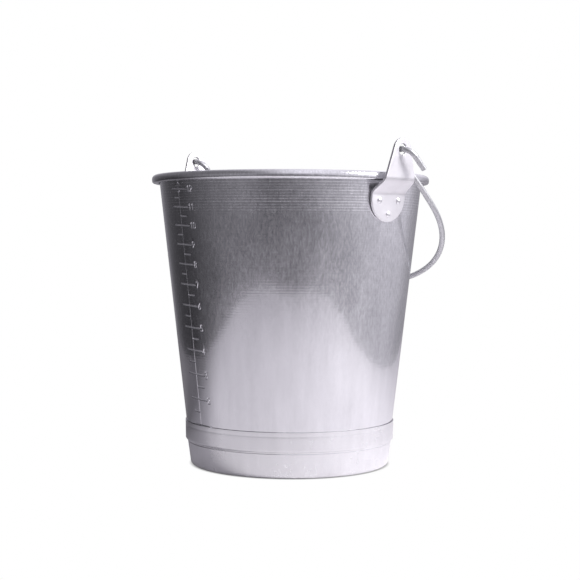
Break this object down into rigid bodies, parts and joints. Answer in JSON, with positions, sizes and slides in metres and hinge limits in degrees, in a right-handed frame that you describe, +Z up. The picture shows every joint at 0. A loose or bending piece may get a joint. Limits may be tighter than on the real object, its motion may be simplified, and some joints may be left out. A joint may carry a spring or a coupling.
{
  "type": "milk pail",
  "caption": "Tapered aluminium milk pail with a curled rim, lapped foot ring, riveted ears, a litre scale and a swinging wire bail.",
  "frame": {"origin": "centre of the circle that the pail stands on", "axes": "+Z up along the pail's axis; the two ears stand on +X and -X; the bail rests towards +Y"},
  "size_m": [0.3372, 0.2898, 0.3341],
  "materials": {
    "spun_aluminium": "spun, satin, with fine circumferential lines",
    "ring_aluminium": "spun, satin",
    "pressed_aluminium": "pressed sheet, matte",
    "rivet_aluminium": "headed, smooth",
    "zinc_plated_wire": "drawn and plated wire"
  },
  "bodies": {
    "pail": {"pail_body": "spun_aluminium", "rim_wire": "zinc_plated_wire", "foot_ring": "ring_aluminium", "ear_right": "pressed_aluminium", "ear_left": "pressed_aluminium", "rivet_right_1": "rivet_aluminium", "rivet_right_2": "rivet_aluminium", "rivet_right_3": "rivet_aluminium", "rivet_left_1": "rivet_aluminium", "rivet_left_2": "rivet_aluminium", "rivet_left_3": "rivet_aluminium"},
    "bail": {"bail": "zinc_plated_wire"}
  },
  "joints": [
    {"name": "bail_hinge", "type": "hinge", "parent": "pail", "child": "bail", "pos_m": [0, 0, 0.3228], "axis": [1, 0, 0], "range_deg": [0, 272.8]}
  ]
}
